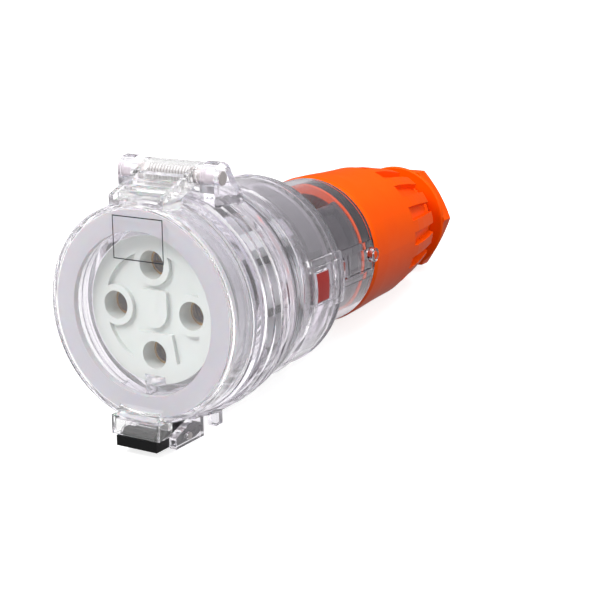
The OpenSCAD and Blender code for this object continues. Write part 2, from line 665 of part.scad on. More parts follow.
module clamp_bar() color([0.4, 0.41, 0.42]) laid() difference() {
    union() {
        intersection() {
            rod(cable_r + 4, clamp_y + 1, clamp_end - 1);
            box(-50, 50, clamp_y, clamp_end, 0.5, 50);
        }
        box(-clamp_screw_x, clamp_screw_x, clamp_y + 2, clamp_end - 2, 0.5, 6);
        for (s = [-1, 1]) translate([s * clamp_screw_x, clamp_mid, 0.5])
            cylinder(r = clamp_boss_r, h = clamp_top - 0.5);
    }
    rod(cable_r + 0.5, clamp_y - 1, clamp_end + 1);
    for (s = [-1, 1]) translate([s * clamp_screw_x, clamp_mid, 0])
        cylinder(r = clamp_screw_r + gap, h = clamp_top + 1);
}

module clamp_screws() color("silver") laid() for (s = [-1, 1])
    translate([s * clamp_screw_x, clamp_mid, 0]) difference() {
        union() {
            translate([0, 0, -clamp_screw_in])
                cylinder(r = clamp_screw_r, h = clamp_top + clamp_screw_in + 0.1);
            translate([0, 0, clamp_top + face_gap]) cylinder(r = clamp_head_r, h = clamp_head_h);
        }
        box(-4, 4, -0.4, 0.4, clamp_top + 1.1, clamp_top + clamp_head_h + 1);
    }

// Coupling ring and its release tab

tab_y = ring_y + (ring_len - tab_len) / 2 + 0.3;
tab_z = 1.2 - tab_h / 2;
foot_len = 4.6;
foot_h = 6.4;
foot_r = spigot_in_r + 0.6;

// Raised bars round the window, the upper one in line with a rail of the rear tube
module window_frame() intersection() {
    tube(ring_r + 1, ring_r - 1.5, ring_y, ring_end);
    difference() {
        box(20, 60, tab_y - 3.4, ring_end - 1, tab_z - 3.2, tab_z + tab_h + 6);
        box(19, 61, tab_y - 1.4, tab_y + tab_len + 1.6, tab_z - 0.6, tab_z + tab_h + 2.8);
        box(19, 61, tab_y + tab_len + 3.4, ring_end - 2.8, tab_z - 0.6, tab_z + tab_h + 2.8);
    }
}

module coupling_ring() color([0.93, 0.93, 0.96, 0.35]) laid() difference() {
    union() {
        turned([[ring_in_r, ring_y], [ring_r - 0.4, ring_y], [ring_r + 0.2, ring_y + 0.6],
            [ring_r + 0.2, ring_y + 3.6], [ring_r - 0.3, ring_y + 4.3], [ring_r - 0.3, ring_y + 6.3],
            [ring_r + 0.7, ring_y + 6.9], [ring_r + 0.7, ring_y + 10.2], [ring_r - 0.2, ring_y + 10.9],
            [ring_r - 0.5, ring_end - 3.2], [ring_r, ring_end - 2.6], [ring_r - 0.5, ring_end - 0.6],
            [ring_r - 1.1, ring_end], [lip_r, ring_end], [lip_r, lip_y], [ring_in_r, lip_y]]);
        window_frame();
    }
    box(30, 60, tab_y, tab_y + tab_len, tab_z, tab_z + tab_h);
}

module release_tab() color([0.78, 0.2, 0.16]) laid() {
    head_x = spigot_r + tab_travel + 0.4;
    intersection() {
        rod(ring_r - 0.7, tab_y, tab_y + tab_len);
        box(head_x, 60, tab_y + gap, tab_y + tab_len - gap, tab_z + gap, tab_z + tab_h - gap);
    }
    box(foot_r, head_x + 0.6, tab_y + (tab_len - foot_len) / 2, tab_y + (tab_len + foot_len) / 2,
        tab_z + (tab_h - foot_h) / 2, tab_z + (tab_h + foot_h) / 2);
}

// Rear housing

rail_from = ring_end + 0.6;
rail_to = tube_end - 5.6;
rail_angles = [13.3, -8];
hole_y = tube_end - 4.2;
hole_z = 2.7;

module tab_slot() {
    high = asin((tab_z + (tab_h + foot_h) / 2) / foot_r) + 1.5;
    low = asin(-(tab_z + (tab_h - foot_h) / 2) / foot_r) + 1.5;
    slot_y = tab_y + (tab_len - foot_len) / 2 - gap;
    turned([[spigot_in_r - 2, slot_y], [spigot_r + 2, slot_y], [spigot_r + 2, slot_y + foot_len + 2 * gap],
        [spigot_in_r - 2, slot_y + foot_len + 2 * gap]], -high, high + low + ring_turn);
}

module rear_housing() color([0.93, 0.9, 0.92, 0.35]) laid() difference() {
    union() {
        turned([[spigot_in_r, spigot_end], [spigot_r, spigot_end], [spigot_r, barrel_end],
            [tube_r, barrel_end], [tube_r, tube_end - 0.4], [tube_r - 0.4, tube_end],
            [tube_in_r, tube_end], [tube_in_r, step_y], [spigot_in_r, step_y]]);
        for (a = rail_angles) at_angle(a)
            box(tube_r - 1, tube_r + rail_h, rail_from, rail_to, -rail_w / 2, rail_w / 2);
        intersection() {
            tube(tube_r + rail_h - 0.4, tube_r - 1, rail_from, rail_to);
            for (y = [rail_from + 0.7, rail_from + 15]) box(20, 50, y, y + 2, -5, 8);
        }
        cross_rod(3.3, tube_r - 2.4, tube_r + rail_h, hole_y, hole_z);
    }
    cross_rod(2, tube_in_r - 4, tube_r + 5, hole_y, hole_z);
    tab_slot();
}

module cap_seal() color([0.06, 0.05, 0.05]) laid() along_axis()
    rotate_extrude() translate([cap_spigot_r - 1.02, tube_end - 3.5]) circle(1.22, $fn = 24);

// Rear cap

// Outer line of the ribs' crests, as shares of the ribbed length
crest_line = [[0, 2.7], [0.2, 2.9], [0.42, 3.8], [0.66, 5.2], [0.9, 6.9], [0.97, 7.4], [0.99, 7.8]];
function crest_r(share) = cap_r - lookup(share, crest_line);
smooth_line = [[0, 0.8], [0.012, 0.5], [0.05, 0.1], [0.3, 0.5], [0.6, 1.3], [0.85, 1.75], [1, 1.9]];

module cap_body() turned(concat(
    [[cap_spigot_r - 3.7, cap_front], [cap_spigot_r - 0.5, cap_front],
        [cap_spigot_r, cap_front + 0.5], [cap_spigot_r, tube_end - 5.2],
        [cap_spigot_r - 2.3, tube_end - 5.2], [cap_spigot_r - 2.3, tube_end - 1.8],
        [cap_spigot_r, tube_end - 1.8], [cap_spigot_r, cap_y]],
    [for (p = smooth_line) [cap_r - p[1], cap_y + p[0] * cap_len]],
    [for (s = [0:0.2:1]) [crest_r(s) - rib_h, rib_y + s * rib_len]],
    [[neck_r, rib_end], [neck_r, neck_end - 0.8], [neck_r - 0.8, neck_end],
        [neck_in_r, neck_end], [neck_in_r, rib_end + 2.4], [neck_in_r - 2.6, rib_end + 2.4],
        [neck_in_r - 2.6, rib_end - 2]],
    [for (s = [0.8:-0.2:0]) [crest_r(s) - rib_h - cap_wall, rib_y + s * rib_len]],
    [for (i = [len(smooth_line) - 1:-1:1])
        [cap_r - smooth_line[i][1] - cap_wall, cap_y + max(smooth_line[i][0], 0.14 + i / 1000) * cap_len - 4]],
    [[cap_spigot_r - 3.7, cap_y + 1]]));

module cap_ribs() intersection() {
    turned(concat([[crest_r(0) - rib_h - 1, rib_y - eps]],
        [for (p = crest_line) [cap_r - p[1], rib_y - eps + p[0] * rib_len]],
        [[crest_r(1) - rib_h - 1, rib_y + 0.99 * rib_len]]));
    union() for (i = [0:ribs - 1]) at_angle(360 * (i + 0.5) / ribs)
        box(10, 50, rib_y - 1, rib_end + 1, -rib_w / 2, rib_w / 2);
}

module rear_cap() color([1, 0.35, 0.02]) laid() {
    cap_body();
    cap_ribs();
}

// Gland

grommet_y = rib_end + 2.4;
washer_y = neck_end + 0.4;
washer_t = 1;
nut_bevel = 2.1;
nut_angle = 3;

module gland_grommet() color([0.1, 0.1, 0.1]) laid() turned([
    [cable_r, grommet_y + 1.2], [cable_r + 1.2, grommet_y], [neck_in_r - gap, grommet_y],
    [neck_in_r - gap, neck_end - 1.5], [neck_in_r - 1.6, washer_y],
    [cable_r + 1.2, washer_y], [cable_r, washer_y - 1.2]]);

module slip_washer() color([0.85, 0.85, 0.82]) laid()
    tube(neck_in_r + 1.2, cable_r + 1.6, washer_y, washer_y + washer_t);

module gland_nut() color([1, 0.33, 0.02]) laid() difference() {
    union() {
        turned([[0, nut_y], [nut_edge_r - 0.6, nut_y], [nut_edge_r, nut_y + 0.6],
            [nut_edge_r, nut_edge_y], [nut_edge_r - 3.2, nut_edge_y + 1], [0, nut_edge_y + 1]]);
        intersection() {
            at_angle(nut_angle) facing(nut_y + 0.8, nut_len - 0.8) circle(nut_corner_r, $fn = 6);
            turned([[0, nut_y], [nut_corner_r - 0.6, nut_y], [nut_corner_r + 0.2, nut_edge_y],
                [nut_corner_r + 0.2, nut_end - nut_bevel - 3], [nut_flat_r, nut_end - nut_bevel],
                [nut_flat_r - 3.4, nut_end - 0.5], [nut_flat_r - 5.6, nut_end], [0, nut_end]]);
        }
    }
    rod(neck_r + gap, nut_y - 1, washer_y + washer_t + 0.1);
    rod(cable_r + 3.8, nut_y, nut_end + 1);
}

front_housing();
flap();
flap_gasket();
hinge_pin();
flap_spring();
latch();
latch_pin();
latch_spring();
contact_insert();
contact(0);  // contact_right
contact(90);  // contact_top
contact(180);  // contact_left
contact(270);  // contact_earth
terminal(0);  // terminal_right
terminal(90);  // terminal_top
terminal(180);  // terminal_left
terminal(270);  // terminal_earth
terminal_screws();
insert_screws();
body_seal();
coupling_ring();
release_tab();
rear_housing();
terminal_carrier();
clamp_bar();
clamp_screws();
cap_seal();
rear_cap();
gland_grommet();
slip_washer();
gland_nut();
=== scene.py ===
# %% [markdown]
# Weatherproof cable coupler: the looks
#
# The solids come from the CAD model as a fixed frame, in metres, with Z up. This notebook
# gives each piece the finish of the real one. It also makes what the CAD model has in a
# plainer form or not at all: the printed frame on the flap, the broad lips of the cap's
# seal, the thread on the gland neck, and a latch spring wound from round wire.

import json
import math

import bmesh
import bpy
from mathutils import Matrix, Vector


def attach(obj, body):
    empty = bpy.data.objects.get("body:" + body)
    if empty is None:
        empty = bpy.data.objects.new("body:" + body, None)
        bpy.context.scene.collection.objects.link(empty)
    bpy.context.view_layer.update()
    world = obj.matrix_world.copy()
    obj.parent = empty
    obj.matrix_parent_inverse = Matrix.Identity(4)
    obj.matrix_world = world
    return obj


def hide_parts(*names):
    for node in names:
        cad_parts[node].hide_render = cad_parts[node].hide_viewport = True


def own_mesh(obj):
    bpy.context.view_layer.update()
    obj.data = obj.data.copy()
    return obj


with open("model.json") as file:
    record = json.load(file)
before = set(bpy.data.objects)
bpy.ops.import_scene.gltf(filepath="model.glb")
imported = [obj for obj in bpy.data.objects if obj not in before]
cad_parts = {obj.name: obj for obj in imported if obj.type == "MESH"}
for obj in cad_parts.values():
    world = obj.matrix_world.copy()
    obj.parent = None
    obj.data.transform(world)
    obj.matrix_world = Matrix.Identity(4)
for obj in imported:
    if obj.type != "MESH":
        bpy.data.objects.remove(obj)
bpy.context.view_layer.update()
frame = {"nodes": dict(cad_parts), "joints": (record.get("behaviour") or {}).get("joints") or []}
MM = 0.001
print("pieces in the frame:", len(frame["nodes"]))

# %% [markdown]
# The coupler lies tipped on the table, with its flap end raised by the latch's bracket. It
# is easiest to think along the coupler's own axis, so the first helper turns a place in the
# coupler's millimetres (x across, y back from the flap's face, z up) into the frame. The
# axis is read from the coupling ring's joint, so nothing has to be measured again.

# %% The coupler's own axes
joints = {j["name"]: j for j in frame["joints"]}
RING_Y = 53.8
ACROSS = Vector((1, 0, 0))
ALONG = Vector(joints["ring_turn"]["axis"]).normalized()
UP = ACROSS.cross(ALONG)
FACE = Vector(joints["ring_turn"]["pos_m"]) - RING_Y * MM * ALONG
TO_FRAME = Matrix.Translation(FACE) @ Matrix((ACROSS, ALONG, UP)).transposed().to_4x4()


def place(x, y, z):
    """A point given in the coupler's own millimetres."""
    return TO_FRAME @ (Vector((x, y, z)) * MM)


print("tilt of the coupler, degrees:", round(math.degrees(math.asin(-ALONG.z)), 2))

# %% [markdown]
# The photograph was taken from in front of the flap, a little above and to the right. The
# viewing angle was worked out from the round edges: a circle seen at a slant is an ellipse,
# and its tilt and width give the camera's direction. The lens is a short telephoto. Turn,
# rise and roll are in degrees, and the distance and the target are in the coupler's
# millimetres. A tracking constraint could aim the camera too, but a matrix also holds its
# roll.

# %% Camera
VIEW_TURN = 30.891
VIEW_RISE = 14.656
VIEW_ROLL = -0.498
VIEW_DISTANCE = 506.4
VIEW_TARGET = (74.19, -0.78, 16.0)
LENS_MM = 84
SENSOR_MM = 36
NEAR_M, FAR_M = 0.01, 20


def camera_at(turn, rise, roll, distance, target):
    """A camera turned round the coupler's own axes, looking at a target in its millimetres."""
    a, e, r = (math.radians(v) for v in (turn, rise, roll))
    back = Vector((math.sin(a) * math.cos(e), -math.cos(a) * math.cos(e), math.sin(e)))
    level = Vector((math.cos(a), math.sin(a), 0))
    steep = back.cross(level)
    right = math.cos(r) * level + math.sin(r) * steep
    top = math.cos(r) * steep - math.sin(r) * level
    matrix = (TO_FRAME.to_3x3() @ Matrix((right, top, back)).transposed()).to_4x4()
    matrix.translation = place(*(Vector(target) + back * distance))
    return matrix


lens = bpy.data.cameras.new("photo_lens")
lens.lens, lens.sensor_width, lens.sensor_fit = LENS_MM, SENSOR_MM, "HORIZONTAL"
lens.clip_start, lens.clip_end = NEAR_M, FAR_M
camera = bpy.data.objects.new("photo_camera", lens)
camera.matrix_world = camera_at(VIEW_TURN, VIEW_RISE, VIEW_ROLL, VIEW_DISTANCE, VIEW_TARGET)
bpy.context.scene.collection.objects.link(camera)
bpy.context.scene.camera = camera
print("camera at", [round(v, 3) for v in camera.matrix_world.translation])

# %% [markdown]
# Colours are written as the sRGB hex values that a paint program shows. Blender works with
# linear light, so one function turns the hex into linear numbers. A second small function
# adds a node, sets its values and links its inputs in one line.

# %% Colour and node helpers


def linear(hex_colour):
    """An sRGB hex colour as linear red, green, blue and alpha."""
    parts = [int(hex_colour[i : i + 2], 16) / 255 for i in (1, 3, 5)]
    return (*[p / 12.92 if p <= 0.04045 else ((p + 0.055) / 1.055) ** 2.4 for p in parts], 1.0)


def add(tree, kind, inputs=None, **settings):
    """A node of that kind. An input's value is a plain value, or an output socket to link."""
    node = tree.nodes.new(kind)
    for key, value in settings.items():
        setattr(node, key, value)
    for key, value in (inputs or {}).items():
        if isinstance(value, bpy.types.NodeSocket):
            tree.links.new(value, node.inputs[key])
        else:
            node.inputs[key].default_value = value
    return node


def new_material(name):
    """An empty material and its node tree."""
    material = bpy.data.materials.new(name)
    material.use_nodes = True
    material.node_tree.nodes.clear()
    return material, material.node_tree


print("mid grey #808080 in linear light:", round(linear("#808080")[0], 3))

# %% [markdown]
# Every moulded surface has a fine unevenness. It is drawn as a bump from a noise whose
# lumps have a real size. A noise scale of one makes lumps of about a metre, so the scale for
# smaller lumps is one divided by their size in metres.

# %% Grain with a size in millimetres
GRAIN_EDGE = 0.55


def noise_scale(size_mm):
    """The noise scale whose lumps are about size_mm wide."""
    return 1 / (size_mm * MM)


def grain(tree, size_mm, depth_mm, detail=2.0):
    """A bump of fine random grain. More detail adds smaller lumps on the lumps."""
    spot = add(tree, "ShaderNodeTexCoord")
    lumps = add(tree, "ShaderNodeTexNoise", {"Vector": spot.outputs["Object"],
        "Scale": noise_scale(size_mm), "Detail": detail, "Roughness": GRAIN_EDGE})
    return add(tree, "ShaderNodeBump", {"Height": lumps.outputs[0], "Distance": depth_mm * MM})


print("noise scale for lumps of 0.7 mm:", round(noise_scale(0.7)))

# %% [markdown]
# Clear polycarbonate, injection moulded in a polished mould. That makes a glassy plastic
# with a trace of lavender and a very slight ripple. Its IOR is typically 1.585. Matched to
# the object it is 1.5, which keeps the dark bands at its edges as narrow as the real ones.
# Clarity is the share of light that passes clearly: the front pieces scatter a few percent.
#
# Light from the lamps must reach the insert behind the plastic, so rays that only carry
# shadow pass straight through, while the rays that the eye follows bend as in the real one.
# Caustics could do this too, but they would leave bright specks.

# %% Clear polycarbonate
CLEAR_ROUGHNESS = 0.02
CLEAR_IOR = 1.5


def clear_polycarbonate(name, tint, shade, clarity, ripple_mm=9.0, ripple_depth=0.012):
    """Tint colours what is seen through the plastic, and shade colours the lamps' light."""
    material, tree = new_material(name)
    ripple = grain(tree, ripple_mm, ripple_depth, detail=1.0)
    plastic = add(tree, "ShaderNodeBsdfPrincipled", {"Base Color": linear(tint),
        "Roughness": CLEAR_ROUGHNESS, "IOR": CLEAR_IOR, "Transmission Weight": clarity,
        "Normal": ripple.outputs[0]})
    pass_light = add(tree, "ShaderNodeBsdfTransparent", {"Color": linear(shade)})
    ray = add(tree, "ShaderNodeLightPath")
    both = add(tree, "ShaderNodeMixShader", {0: ray.outputs["Is Shadow Ray"],
        1: plastic.outputs[0], 2: pass_light.outputs[0]})
    add(tree, "ShaderNodeOutputMaterial", {"Surface": both.outputs[0]})
    return material


clear_tube = clear_polycarbonate("clear_polycarbonate_tube", "#F4F0F6", "#E6E4E8", 1.0)
clear_front = clear_polycarbonate("clear_polycarbonate_front", "#F6F4F8", "#ECEAEE", 0.95)
clear_flap = clear_polycarbonate("clear_polycarbonate_flap", "#F7F7F7", "#F6F6F6", 0.96,
    ripple_mm=14.0, ripple_depth=0.006)
print("clear plastics made:", clear_tube.name, clear_front.name, clear_flap.name)

# %% [markdown]
# The sealing ring on the flap is translucent silicone, moulded with a frosted skin. It
# scatters the light that enters it, so it looks like milky ice: about a third of the light
# passes through, and some of the rest wanders a few millimetres inside and comes out again.

# %% Frosted silicone
FROST_ROUGHNESS = 0.5
SILICONE_IOR = 1.41
PASSES, WANDERS = 0.3, 0.4
WANDER_MM = 3.0
FROST_GRAIN_MM, FROST_DEPTH_MM = 0.4, 0.01


def frosted_silicone(name, colour):
    """Milky silicone with a fine frosted skin."""
    material, tree = new_material(name)
    skin = grain(tree, FROST_GRAIN_MM, FROST_DEPTH_MM)
    body = add(tree, "ShaderNodeBsdfPrincipled", {"Base Color": linear(colour),
        "Roughness": FROST_ROUGHNESS, "IOR": SILICONE_IOR, "Transmission Weight": PASSES,
        "Subsurface Weight": WANDERS, "Subsurface Scale": WANDER_MM * MM,
        "Normal": skin.outputs[0]})
    add(tree, "ShaderNodeOutputMaterial", {"Surface": body.outputs[0]})
    return material


silicone = frosted_silicone("frosted_silicone_moulded", "#D0CED5")
print("silicone made:", silicone.name)

# %% [markdown]
# Opaque plastics and rubbers share one recipe: a base colour that drifts a little from
# place to place, because moulded plastic is never quite even, a typical IOR and roughness,
# and a fine grain from the mould's texture. The specular level says how much white mirror
# light a surface shows. It is set low where that light would veil a deep colour.

# %% Recipe for moulded plastics and rubbers
CLOUD_MM, CLOUD_DETAIL = 12.0, 3.0
GLOSSIER, DULLER = 0.85, 1.15
SCATTER_MM = 1.5


def moulded(name, colour, shade, roughness, ior, grain_mm, grain_depth, scatter=0.0,
        specular=0.5):
    """A moulded surface whose colour drifts between colour and shade."""
    material, tree = new_material(name)
    spot = add(tree, "ShaderNodeTexCoord")
    clouds = add(tree, "ShaderNodeTexNoise", {"Vector": spot.outputs["Object"],
        "Scale": noise_scale(CLOUD_MM), "Detail": CLOUD_DETAIL})
    tones = add(tree, "ShaderNodeMix", {"Factor": clouds.outputs[0], "A": linear(colour),
        "B": linear(shade)}, data_type="RGBA")
    gloss = add(tree, "ShaderNodeMapRange", {"Value": clouds.outputs[0],
        "To Min": roughness * GLOSSIER, "To Max": roughness * DULLER})
    skin = grain(tree, grain_mm, grain_depth)
    body = add(tree, "ShaderNodeBsdfPrincipled", {"Base Color": tones.outputs["Result"],
        "Roughness": gloss.outputs[0], "IOR": ior, "Subsurface Weight": scatter,
        "Subsurface Scale": SCATTER_MM * MM, "Specular IOR Level": specular,
        "Normal": skin.outputs[0]})
    add(tree, "ShaderNodeOutputMaterial", {"Surface": body.outputs[0]})
    return material


print("recipe for moulded surfaces ready")

# %% [markdown]
# The insert is a thermoset, dense and a little chalky. Cap and nut are dyed nylon, and the
# carrier is nylon with glass fibre, which dulls it and roughens its skin. Latch and washer
# are acetal, waxy and even. The tab is ABS, the glossiest of them. The rubbers are nitrile,
# nearly black and dull.

# %% Moulded plastics and rubbers
insert_thermoset = moulded("thermoset_off_white", "#D6DAD8", "#D0D4D2", 0.42, 1.56, 0.8, 0.004,
    scatter=0.1)
orange_nylon = moulded("nylon_orange_moulded", "#FF5A00", "#FB5200", 0.36, 1.53, 0.7, 0.005,
    specular=0.14)
grey_nylon = moulded("nylon_glass_filled_grey", "#424345", "#3B3C3E", 0.36, 1.53, 0.6, 0.012)
black_acetal = moulded("acetal_black_moulded", "#151516", "#1A1A1B", 0.38, 1.48, 0.7, 0.008,
    specular=0.3)
red_abs = moulded("abs_red_moulded", "#B5302A", "#A82A26", 0.3, 1.54, 0.8, 0.005)
nitrile_rubber = moulded("nitrile_rubber_black", "#161414", "#1E1B1B", 0.55, 1.52, 0.5, 0.01,
    specular=0.15)
natural_acetal = moulded("acetal_natural_moulded", "#E3E3DE", "#DADAD5", 0.38, 1.48, 0.7, 0.006)
print("moulded finishes made, the last of them:", natural_acetal.name)

# %% [markdown]
# Metals: turned brass for the contact sleeves, nickel-plated brass for the terminals and
# zinc-plated steel for the pins and screws, with drawn steel for the springs. A turned or
# drawn surface has fine rings or streaks, drawn here as a noise stretched along one axis. A
# mark is 12.5 times as long as its streak size, and the stretch makes it that size wide.
#
# A matt plating doesn't mirror as bare metal does, so the plated and drawn pieces were
# matched to the object with a lower metallic value.

# %% Metals
MARK_LENGTH, MARK_STRETCH, MARK_DETAIL = 12.5, 12.0, 4.0
BRIGHTER, MATTER = 0.7, 1.3


def worked_metal(name, colour, shade, roughness, streak_mm, streak_depth, metallic=1.0):
    """A metal with fine tool marks across the coupler's axis."""
    material, tree = new_material(name)
    spot = add(tree, "ShaderNodeTexCoord")
    stretch = add(tree, "ShaderNodeMapping", {"Vector": spot.outputs["Object"],
        "Scale": (1.0, MARK_STRETCH, 1.0)})
    marks = add(tree, "ShaderNodeTexNoise", {"Vector": stretch.outputs[0],
        "Scale": noise_scale(MARK_LENGTH * streak_mm), "Detail": MARK_DETAIL})
    tones = add(tree, "ShaderNodeMix", {"Factor": marks.outputs[0], "A": linear(colour),
        "B": linear(shade)}, data_type="RGBA")
    gloss = add(tree, "ShaderNodeMapRange", {"Value": marks.outputs[0],
        "To Min": roughness * BRIGHTER, "To Max": roughness * MATTER})
    ridges = add(tree, "ShaderNodeBump", {"Height": marks.outputs[0],
        "Distance": streak_depth * MM})
    body = add(tree, "ShaderNodeBsdfPrincipled", {"Base Color": tones.outputs["Result"],
        "Metallic": metallic, "Roughness": gloss.outputs[0], "Normal": ridges.outputs[0]})
    add(tree, "ShaderNodeOutputMaterial", {"Surface": body.outputs[0]})
    return material


turned_brass = worked_metal("brass_turned", "#D8A24A", "#C48C38", 0.26, 0.4, 0.004)
nickel_plate = worked_metal("brass_nickel_plated", "#DCD9D4", "#CBC8C4", 0.26, 0.5, 0.004,
    metallic=0.6)
zinc_steel = worked_metal("steel_zinc_plated", "#DDD5D5", "#CFC8C8", 0.35, 0.4, 0.004,
    metallic=0.45)
spring_steel = worked_metal("steel_spring_drawn", "#E6E3E4", "#D2CFD0", 0.25, 0.3, 0.003,
    metallic=0.5)
print("metals made:", turned_brass.name, nickel_plate.name, zinc_steel.name, spring_steel.name)

# %% [markdown]
# Each node of the frame gets its finish. A node keeps its mesh, and only the material in
# its slots changes.

# %% Finishes for the pieces
FINISHES = {
    clear_front: ["front_housing", "coupling_ring"],
    clear_tube: ["rear_housing"],
    clear_flap: ["flap"],
    silicone: ["flap_gasket"],
    insert_thermoset: ["contact_insert"],
    orange_nylon: ["rear_cap", "gland_nut"],
    grey_nylon: ["terminal_carrier", "clamp_bar"],
    black_acetal: ["latch"],
    red_abs: ["release_tab"],
    nitrile_rubber: ["body_seal", "cap_seal", "gland_grommet"],
    natural_acetal: ["slip_washer"],
    turned_brass: ["contact_right", "contact_top", "contact_left", "contact_earth"],
    nickel_plate: ["terminal_right", "terminal_top", "terminal_left", "terminal_earth"],
    zinc_steel: ["hinge_pin", "latch_pin", "terminal_screws", "insert_screws", "clamp_screws"],
    spring_steel: ["flap_spring", "latch_spring"],
}


def coat(obj, material):
    """Gives every face of a piece one material."""
    if not obj.material_slots:
        obj.data.materials.append(material)
    for entry in obj.material_slots:
        entry.material = material


for material, names in FINISHES.items():
    for name in names:
        coat(frame["nodes"][name], material)
print("finishes on", sum(len(names) for names in FINISHES.values()), "pieces")

# %% [markdown]
# A bmesh is Blender's workbench for faces and points. One helper turns a finished bmesh
# into a piece that rides on a CAD body. The other makes a thin closed box from two corners,
# which is all that a printed line needs.

# %% Helpers for new pieces


def mesh_piece(name, bm, material, body):
    """A new piece from a bmesh, riding on a CAD body."""
    mesh = bpy.data.meshes.new(name)
    bm.to_mesh(mesh)
    bm.free()
    obj = bpy.data.objects.new(name, mesh)
    bpy.context.scene.collection.objects.link(obj)
    coat(obj, material)
    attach(obj, body)
    return obj


def strip(bm, low, high):
    """A closed box between two corners in the coupler's millimetres."""
    made = bmesh.ops.create_cube(bm, size=1)["verts"]
    for vert in made:
        spot = [low[i] + (vert.co[i] + 0.5) * (high[i] - low[i]) for i in range(3)]
        vert.co = place(*spot)


print("helpers for new pieces ready")

# %% [markdown]
# The flap carries a thin printed rectangle in black ink. It could be a mask in the flap's
# material, but an edge is sharper as geometry, so it is made of four strips that stand a
# hair above the plastic.

# %% Printed frame on the flap
PRINT_LEFT, PRINT_RIGHT, PRINT_LOW, PRINT_HIGH = -10.9, 12.9, 22.2, 39.2
LINE_W = 0.45
HALF_LINE = LINE_W / 2
INK_H = 0.03
ink = moulded("printing_ink_black", "#2A2A2C", "#303033", 0.5, 1.5, 0.5, 0.002)
bm = bmesh.new()
for z in (PRINT_LOW, PRINT_HIGH):
    strip(bm, (PRINT_LEFT, -INK_H, z - HALF_LINE), (PRINT_RIGHT, 0, z + HALF_LINE))
for x in (PRINT_LEFT, PRINT_RIGHT):
    strip(bm, (x - HALF_LINE, -INK_H, PRINT_LOW - HALF_LINE),
        (x + HALF_LINE, 0, PRINT_HIGH + HALF_LINE))
printed_frame = mesh_piece("printed_frame", bm, ink, "flap_unit")
print("printed frame faces:", len(printed_frame.data.polygons))

# %% [markdown]
# Where two pieces touch face to face, a ray can't tell which face it meets first, and the
# contact shows as wedges. The sealing ring is moulded onto the flap, so a displacement of
# a fiftieth of a millimetre sinks its skin into the flap, and the contact looks clean.

# %% Sealing ring bonded to the flap
BOND_DEPTH = 0.02
bond = frame["nodes"]["flap_gasket"].modifiers.new("bond", "DISPLACE")
bond.strength, bond.mid_level = BOND_DEPTH * MM, 0.0
print("sealing ring sunk by", BOND_DEPTH, "mm")

# %% [markdown]
# The black seal at the rear end of the tube is a lip seal: a foot in the cap's groove and
# two thin lips that lie along the tube. From outside it shows as one broad black band. It is
# a profile turned round the axis. A Screw modifier could turn it, and a short loop does the
# same with the points exactly where the list of (radius, place) says.

# %% Lip seal of the cap


def revolve(bm, profile, steps=180):
    """A closed profile of (radius, place along the axis) points turned full circle."""
    rings = []
    for i in range(steps):
        turn = 2 * math.pi * i / steps
        x, z = math.cos(turn), math.sin(turn)
        rings.append([bm.verts.new(place(r * x, y, r * z)) for r, y in profile])
    for i, ring in enumerate(rings):
        after = rings[(i + 1) % steps]
        for k in range(len(profile)):
            n = (k + 1) % len(profile)
            bm.faces.new((ring[k], ring[n], after[n], after[k]))
    bmesh.ops.recalc_face_normals(bm, faces=bm.faces)


TUBE_END, SPIGOT_R, TUBE_BORE_R = 133.2, 31.3, 31.6
SEAL_BACK, SEAL_FRONT = TUBE_END - 0.4, TUBE_END - 8.0
FOOT_BACK, FOOT_FRONT, FOOT_R = TUBE_END - 2.2, TUBE_END - 4.8, 29.1
LIP_IN, LIP_OUT, LIP_BEVEL = SPIGOT_R + 0.04, TUBE_BORE_R - 0.08, 0.1
SEAL_PROFILE = [(LIP_IN, SEAL_FRONT), (LIP_OUT, SEAL_FRONT + LIP_BEVEL),
    (LIP_OUT, SEAL_BACK - LIP_BEVEL), (LIP_IN, SEAL_BACK), (LIP_IN, FOOT_BACK),
    (FOOT_R, FOOT_BACK), (FOOT_R, FOOT_FRONT), (LIP_IN, FOOT_FRONT)]
bm = bmesh.new()
revolve(bm, SEAL_PROFILE)
lip_seal = mesh_piece("cap_lip_seal", bm, nitrile_rubber, "cap_unit")
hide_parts("cap_seal")
print("lip seal faces:", len(lip_seal.data.polygons))

# %% [markdown]
# The gland nut screws onto a thread on the cap's neck. A thread is one ridge that winds
# round, so a small triangle is carried along a helix, and its crest fades out over a quarter
# of a turn at both ends. Its foot is sunk into the neck, so that no gap shows below it.

# %% Thread on the gland neck
NECK_R, THREAD_START, THREAD_END = 20.0, 211.2, 227.4
THREAD_PITCH, THREAD_RISE = 1.5, 0.2
THREAD_STEPS, FADE_STEPS = 72, 18
FOOT_SUNK, FOOT_SHARE = 0.3, 0.45


def ridge(bm, radius, start, end, pitch, height):
    """A triangular ridge on a helix, whose crest fades at both ends."""
    count = int((end - start) / pitch * THREAD_STEPS)
    foot, reach = radius - FOOT_SUNK, FOOT_SHARE * pitch
    rows = []
    for i in range(count + 1):
        turn = 2 * math.pi * i / THREAD_STEPS
        x, z = math.cos(turn), math.sin(turn)
        middle = start + (end - start) * i / count
        crest = radius + height * min(1, i / FADE_STEPS, (count - i) / FADE_STEPS)
        corners = ((foot, middle - reach), (crest, middle), (foot, middle + reach))
        rows.append([bm.verts.new(place(r * x, y, r * z)) for r, y in corners])
    for low, high in zip(rows, rows[1:]):
        for k in range(3):
            n = (k + 1) % 3
            bm.faces.new((low[k], low[n], high[n], high[k]))
    bm.faces.new(rows[0])
    bm.faces.new(rows[-1])
    bmesh.ops.recalc_face_normals(bm, faces=bm.faces)


